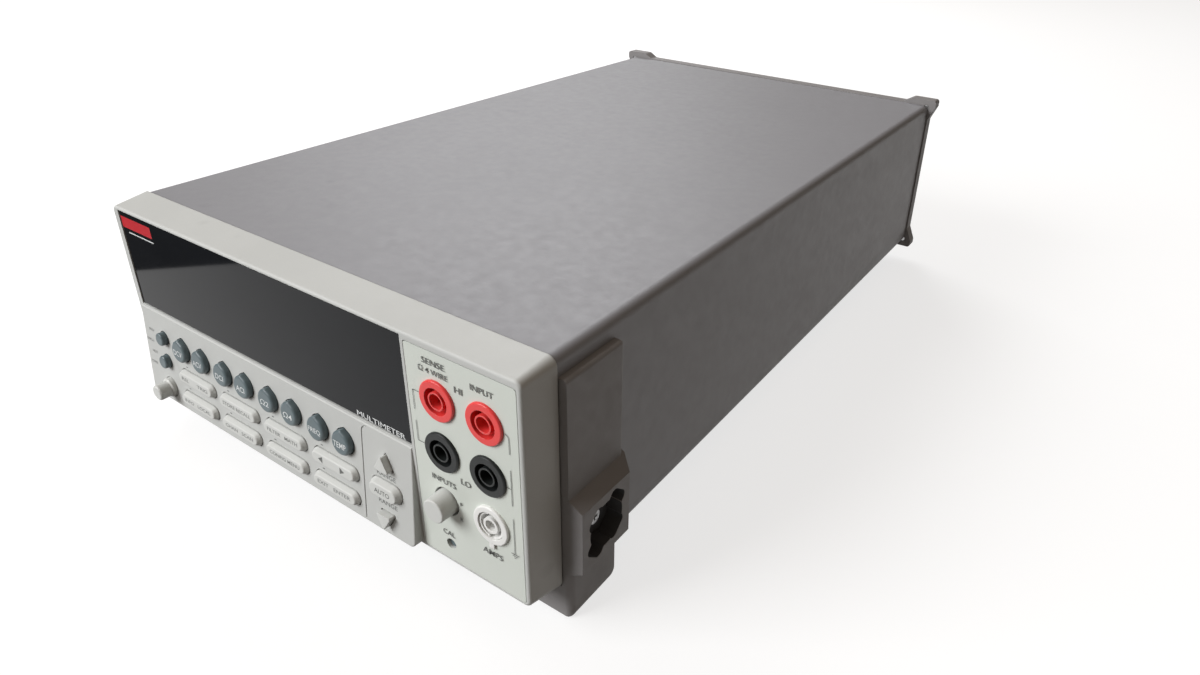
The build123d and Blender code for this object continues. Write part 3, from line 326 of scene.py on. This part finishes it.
# ---------------------------------------------------------------- printing on the lens
LENS = on_face(0, 0, LENS_FACE)
lettering("print_word", "MULTIMETER", 2.1, 23.4, LENS, PALE_INK, "case", at=(43.1, 45.9),
          on="display_lens", bold=0.03)
BADGE = ((-101.2, 83.2), (-80.4, 83.2), (-80.4, 78.5), (-101.2, 78.5))
BADGE_LINE = ((-97.5, 77.1), (-80.0, 77.1), (-80.0, 76.6), (-97.5, 76.6))
for name, corners, material in (("badge", BADGE, RED_BADGE), ("badge_line", BADGE_LINE, PALE_INK)):
    vertices = [(x, y, PRINT_LIFT) for x, y in corners]
    piece_from(name, vertices, [(0, 3, 2, 1)], LENS, material, "case", on="display_lens")

# ---------------------------------------------------------------- legends on the keys
FUNCTIONS = (
    ("dc_volts_key", "DCV", 5.8), ("ac_volts_key", "ACV", 5.8), ("dc_current_key", "DCI", 5.1),
    ("ac_current_key", "ACI", 5.1), ("two_wire_ohms_key", "Ω2", 5.0), ("four_wire_ohms_key", "Ω4", 5.0),
    ("frequency_key", "FREQ", 6.6), ("temperature_key", "TEMP", 6.6),
)
for i, (key, words, width) in enumerate(FUNCTIONS):
    group, half = divmod(i, 2)
    x = FUNCTION_FIRST + FUNCTION_GROUP * group + FUNCTION_PAIR * half
    place = on_keypad(x, FUNCTION_HEIGHT, KEY_LEVEL)
    lettering("legend_" + key, words, 2.3, width, place, PALE_INK, key, at=(0, -0.5), on=key)

ROCKERS = (
    (("relative_trigger_key", "REL      TRIG"), ("store_recall_key", "STORE RECALL"),
     ("filter_math_key", "FILTER   MATH"), ("cursor_key", "")),
    (("info_local_key", "INFO   LOCAL"), ("channel_scan_key", "CHAN   SCAN"),
     ("config_menu_key", "CONFIG MENU"), ("exit_enter_key", "EXIT   ENTER")),
)
CURSORS = ((-7.6, 0), (-5.2, 1.3), (-5.2, -1.3), (6.6, 0), (4.2, -1.3), (4.2, 1.3))
for row, height in zip(ROCKERS, ROCKER_ROWS):
    for column, (key, words) in enumerate(row):
        x = ROCKER_FIRST + ROCKER_PITCH * column
        place = on_keypad(x, height, KEY_LEVEL)
        if words:
            lettering("legend_" + key, words, 1.5, 17.8, place, GREY_INK, key, on=key)
        else:
            vertices = [(across, up, PRINT_LIFT) for across, up in CURSORS]
            piece_from("legend_" + key, vertices, [(0, 2, 1), (3, 5, 4)], place, INK, key, on=key)
        # Painted shadow: a short dark stroke at the upper left of each rocker, where the gap round the cap
        # falls into shade.
        rule("painted_gap_shadow_" + key, ((-8.2, 4.5), (-7.0, 4.5)), 0.45, on_keypad(x, height), INK, "case")

lettering("legend_auto", "AUTO", 1.8, 7.4, on_keypad(45.1, 21.4, 2.4), INK, "auto_range_key",
          on="auto_range_key")
for name, words, height, width, x, y, ink in (
    ("print_range", "RANGE", 1.8, 9.2, 45.0, 26.9, INK),
    ("print_auto_range", "RANGE", 1.8, 9.2, 45.2, 15.6, INK),
    ("print_previous", "PREV", 1.2, 3.8, -97.8, 33.5, GREY_INK),
    ("print_display", "DISPLAY", 1.1, 5.2, -99.8, 28.4, GREY_INK),
    ("print_next", "NEXT", 1.2, 3.8, -97.8, 23.4, GREY_INK),
    ("print_power", "POWER", 1.1, 4.6, -99.6, 18.0, GREY_INK),
):
    lettering(name, words, height, width, on_keypad(x, y), ink, "case")

# ---------------------------------------------------------------- painted shade in the handle sockets: a near-black cup lines each one
SOCKET_R, SOCKET_FLOOR, SOCKET_TOP, SOCKET_CORNER = 8.55, 108.62, 115.0, 2.2
SOCKET_LOBES = ((22.9, 8.7, 50), (19.4, 8.5, -45))
SOCKET_DEPTH, SOCKET_HEIGHT = 26.7, 22.8
SOCKET_POINTS, SOCKET_REACH, SOCKET_HALVINGS = 120, 16.0, 16


def in_socket(x, y):
    """Whether a place, measured from the socket's centre, lies in its outline."""
    if math.hypot(x, y) < SOCKET_R:
        return True
    for length, width, turn in SOCKET_LOBES:
        c, s = math.cos(math.radians(turn)), math.sin(math.radians(turn))
        dx = abs(x * c + y * s) - length / 2 + SOCKET_CORNER
        dy = abs(y * c - x * s) - width / 2 + SOCKET_CORNER
        if math.hypot(max(dx, 0), max(dy, 0)) < SOCKET_CORNER:
            return True
    return False


def socket_outline():
    """Points round the socket, each found by halving along its own ray."""
    outline = []
    for i in range(SOCKET_POINTS):
        turn = math.tau * i / SOCKET_POINTS
        c, s = math.cos(turn), math.sin(turn)
        near, far = 0.0, SOCKET_REACH
        for _ in range(SOCKET_HALVINGS):
            middle = (near + far) / 2
            near, far = (middle, far) if in_socket(middle * c, middle * s) else (near, middle)
        outline.append((near * c, near * s))
    return outline


outline = socket_outline()
count = len(outline)
# Painted shade: a near-black rubber cup, floor and walls, stands in for the shade deep in each handle socket.
for name, side in (("right", 1), ("left", -1)):
    vertices = [(y, z, SOCKET_FLOOR) for y, z in outline] + [(y, z, SOCKET_TOP) for y, z in outline]
    faces = [tuple(range(count))]
    faces += [(i, (i + 1) % count, count + (i + 1) % count, count + i) for i in range(count)]
    place = Matrix((
        (0, 0, side, 0),
        (1, 0, 0, FACE + SOCKET_DEPTH * MM),
        (0, 1, 0, BASE + SOCKET_HEIGHT * MM),
        (0, 0, 0, 1),
    ))
    piece_from("socket_painted_shade_" + name, vertices, faces, place, LOOKS["foot_rubber"], "case")

# ---------------------------------------------------------------- studio
def flat(name, corners, height, material):
    """A flat sheet of the studio, its corners in metres."""
    mesh = bpy.data.meshes.new(name)
    mesh.from_pydata([(x, y, height) for x, y in corners], [], [(0, 1, 2, 3)])
    mesh.materials.append(material)
    made = bpy.data.objects.new(name, mesh)
    bpy.context.scene.collection.objects.link(made)
    return made


# A pale light table: it glows evenly, so shadows on it stay soft, and it throws little light upwards.
paper = finish("floor_paper", (0.34, 0.34, 0.34), 0.85, 600, 0.05, 0.01, round_off=0)
glow = paper.node_tree.nodes["Principled BSDF"]
glow.inputs["Emission Color"].default_value = (1, 1, 1, 1)
glow.inputs["Emission Strength"].default_value = 0.72
REACH = 30
floor = flat("floor", ((-REACH, -REACH), (REACH, -REACH), (REACH, REACH), (-REACH, REACH)), 0, paper)
floor.visible_diffuse = False

# A black cloth on the table, which only reflections show: it darkens one corner of the lens.
EDGE_A, EDGE_B, OUT = Vector((-0.448, 0.141)), Vector((-0.030, -0.310)), Vector((-0.44, -0.41))
CLOTH_HEIGHT = 0.0005
face_at = Vector((0, FACE))
flag = flat("flag", [p + face_at for p in (EDGE_A, EDGE_A + OUT, EDGE_B + OUT, EDGE_B)], CLOTH_HEIGHT,
            finish("flag_cloth", (0.01, 0.01, 0.011), 0.9, 600, 0.05, 0.01, round_off=0))
flag.visible_camera = flag.visible_diffuse = flag.visible_shadow = False


def area_light(name, place, target, size, power, colour=(1, 1, 1)):
    data = bpy.data.lights.new(name, "AREA")
    data.shape = "RECTANGLE"
    data.size, data.size_y = size
    data.energy = power
    data.color = colour
    lamp = bpy.data.objects.new(name, data)
    bpy.context.scene.collection.objects.link(lamp)
    lamp.location = place
    lamp.rotation_euler = (Vector(target) - Vector(place)).to_track_quat("-Z", "Y").to_euler()
    return lamp


area_light("key", (-1.3, -1.95, 1.35), (0, 0, 0.05), (1.5, 1.3), 80, (0.98, 0.99, 1.0))
area_light("top", (-0.85, 0.9, 1.05), (-0.05, 0.3, 0.05), (0.9, 0.9), 11.5, (0.96, 0.98, 1.0))

world = bpy.data.worlds.new("studio")
world.use_nodes = True
bpy.context.scene.world = world
studio_tree = world.node_tree
sky = studio_tree.nodes["Background"]
sky.inputs["Color"].default_value = (1.0, 0.83, 0.68, 1)
around = node(studio_tree, "ShaderNodeTexCoord").outputs["Generated"]
parts = node(studio_tree, "ShaderNodeSeparateXYZ")
link(studio_tree, around, parts.inputs["Vector"])
link(studio_tree, remap(studio_tree, parts.outputs["Z"], 0.0, 1.0, 0.06, 0.34), sky.inputs["Strength"])

# Past the floor's far edge a plain pale wall is seen, which lights nothing.
wall = node(studio_tree, "ShaderNodeBackground")
wall.inputs["Color"].default_value = (0.79, 0.785, 0.775, 1)
chosen = node(studio_tree, "ShaderNodeMixShader")
link(studio_tree, node(studio_tree, "ShaderNodeLightPath").outputs["Is Camera Ray"], chosen.inputs[0])
link(studio_tree, sky.outputs[0], chosen.inputs[1])
link(studio_tree, wall.outputs[0], chosen.inputs[2])
link(studio_tree, chosen.outputs[0], studio_tree.nodes["World Output"].inputs["Surface"])

# ---------------------------------------------------------------- camera
AZIMUTH, ELEVATION, ROLL = 0.5733946, 0.4660735, 0.0327057
IMAGE_WIDTH = 1200
FOCAL_PIXELS = 821.729
OPTICAL_CENTRE, IMAGE_CENTRE = (646.109, 279.841), (600, 337.5)
EYE = Vector((231.973 * MM, FACE - 135.724 * MM, BASE + 210.856 * MM))
back = Vector((
    math.sin(AZIMUTH) * math.cos(ELEVATION), -math.cos(AZIMUTH) * math.cos(ELEVATION), math.sin(ELEVATION),
))
level_right = (-back).cross(Vector((0, 0, 1))).normalized()
level_up = level_right.cross(-back)
right = math.cos(ROLL) * level_right + math.sin(ROLL) * level_up
up = -math.sin(ROLL) * level_right + math.cos(ROLL) * level_up
camera_data = bpy.data.cameras.new("camera")
camera_data.sensor_width = 36
camera_data.lens = FOCAL_PIXELS * camera_data.sensor_width / IMAGE_WIDTH
camera_data.shift_x = (IMAGE_CENTRE[0] - OPTICAL_CENTRE[0]) / IMAGE_WIDTH
camera_data.shift_y = (OPTICAL_CENTRE[1] - IMAGE_CENTRE[1]) / IMAGE_WIDTH
camera_data.clip_start = 0.01
camera = bpy.data.objects.new("camera", camera_data)
bpy.context.scene.collection.objects.link(camera)
camera.matrix_world = Matrix.Translation(EYE) @ Matrix((
    (right.x, up.x, back.x, 0), (right.y, up.y, back.y, 0), (right.z, up.z, back.z, 0), (0, 0, 0, 1),
))
bpy.context.scene.camera = camera
bpy.context.scene.view_settings.view_transform = "Standard"
